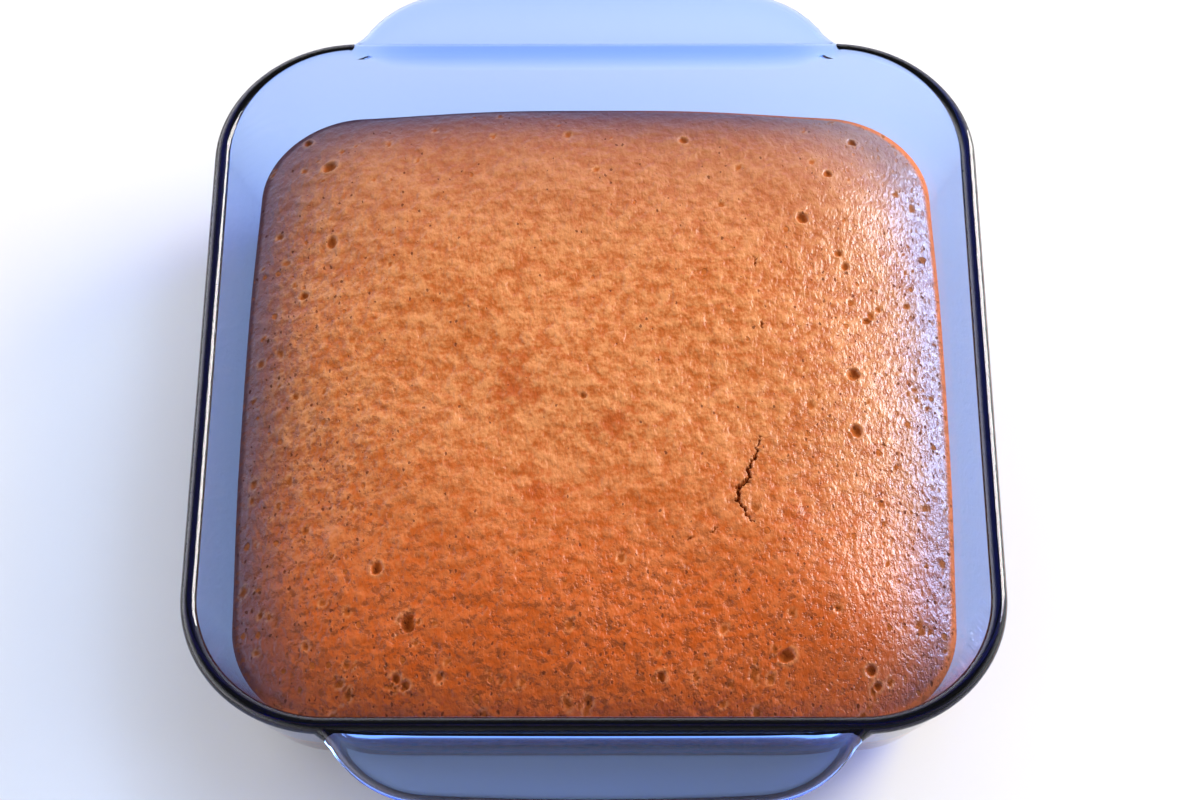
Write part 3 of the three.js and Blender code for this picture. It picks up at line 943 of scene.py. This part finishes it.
# %% Relief and sheen
long_place = vector(tree, x, y / 1.9, z)
grain = noise(tree, long_place, 0.5 * mm, detail=2, roughness=0.6)
dimples = noise(tree, long_place, 1.1 * mm, detail=1)
texture = grain * 0.10 + dimples * 0.30 + peel * 0.75 * (1 - at_right * 0.8)
relief = texture - fine_holes * 0.12 - wide_holes * 0.25 - pits * 0.12 - toasted * 0.1
bump = add(tree, "ShaderNodeBump", {"Height": relief, "Strength": 1.0, "Distance": mm}, "Normal")
roughness = 0.45 + speckle * 0.15 + mottle * 0.15 + open_pores * 0.45 + strip * 0.3
moist = (1 - strip.of("MAXIMUM", open_pores)) * (0.25 + at_right * 0.75)
skin = add(tree, "ShaderNodeBsdfPrincipled", {
    "Base Color": colour, "Roughness": roughness, "Normal": bump, "IOR": 1.42,
    "Specular IOR Level": 0.25, "Coat Weight": moist, "Coat Roughness": 0.26, "Coat Normal": bump,
})
finish_material(skin)

# %% [markdown]
# ## Putting the pieces on the frame
#
# Both pieces stand for a solid of the frame and ride on its only body.

# %% Pieces on the frame
for piece, node, slot, material in ((bowl, "dish", "glass", glass), (cake, "cake", "crust", crust)):
    piece.data.materials.clear()
    piece.data.materials.append(material)
    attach(piece, "root")
    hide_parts(node)

# %% [markdown]
# ## Floor and light
#
# The surroundings are a pale floor and soft light. Glass shows what is round it, so the light
# matters as much as the material. The room glows low down, most at the back and left, and is dark
# overhead, which gives the rim its dark line. One window-like light, low at the back right,
# draws the long sheen down that side of the crust.

# %% Floor
FLOOR_SIDE = 6
FLOOR_GAP = 0.2 * mm  # keeps the floor and the dish's underside apart, so they don't flicker

floor = start("plane", "floor", size=FLOOR_SIDE, location=(0, 0, -FLOOR_GAP))
finish_editing(floor)
floor_finish, tree = material_tree("pale_floor")
place = add(tree, "ShaderNodeTexCoord", output="Object")
cloud = noise(tree, place, 0.25, detail=2).rise(-0.5, 0.5)
floor_colour = mix(cloud, (0.74, 0.74, 0.745, 1), (0.79, 0.79, 0.79, 1))
matte = add(tree, "ShaderNodeBsdfPrincipled", {"Base Color": floor_colour, "Roughness": 0.5})
finish_material(matte)
floor.data.materials.append(floor_finish)

# %% Window light
WINDOW_PLACE = Vector((0.98, 0.59, 0.58))
WINDOW_AIM = Vector((0.09, 0, 0.04))
WINDOW_WIDTH = 0.56
WINDOW_HEIGHT = 0.86
WINDOW_RADIANCE = 18.5  # what the light's face shows, which its power follows
WINDOW_COLOUR = (1.0, 0.95, 0.90)

window = bpy.data.lights.new("right_window", "AREA")
window.shape = "RECTANGLE"
window.size = WINDOW_WIDTH
window.size_y = WINDOW_HEIGHT
window.energy = WINDOW_RADIANCE * WINDOW_WIDTH * WINDOW_HEIGHT * math.pi
window.color = WINDOW_COLOUR
lamp = bpy.data.objects.new("right_window", window)
bpy.context.scene.collection.objects.link(lamp)
lamp.location = WINDOW_PLACE
lamp.rotation_euler = (WINDOW_AIM - WINDOW_PLACE).to_track_quat("-Z", "Y").to_euler()

# %% The room's glow
ROOM_DARK = 0.14  # the brightness overhead
BACK_GLOW = 1.75
FRONT_SHARE = 0.15  # the glow in front, as a share of the one at the back
LEFT_EXTRA = 1.1  # what the left adds, in the same shares
ROOM_COLOUR = (0.975, 0.975, 1.0, 1)

world = bpy.data.worlds.new("studio")
bpy.context.scene.world = world
world.use_nodes = True
tree = world.node_tree
tree.nodes.clear()
toward = add(tree, "ShaderNodeTexCoord", output="Generated")
at_back = FRONT_SHARE + (1 - FRONT_SHARE) * toward.part("Y").rise(-0.9, 0.1)
at_left = LEFT_EXTRA * toward.part("X").rise(0.1, -0.9)
low_down = toward.part("Z").rise(0.88, 0.3)
brightness = ROOM_DARK + BACK_GLOW * (at_back + at_left) * low_down
glow = add(tree, "ShaderNodeBackground", {"Color": ROOM_COLOUR, "Strength": brightness})
feed(tree, glow, tree.nodes.new("ShaderNodeOutputWorld").inputs["Surface"])
bpy.context.scene.view_settings.view_transform = "Standard"
bpy.context.scene.cycles.use_denoising = True
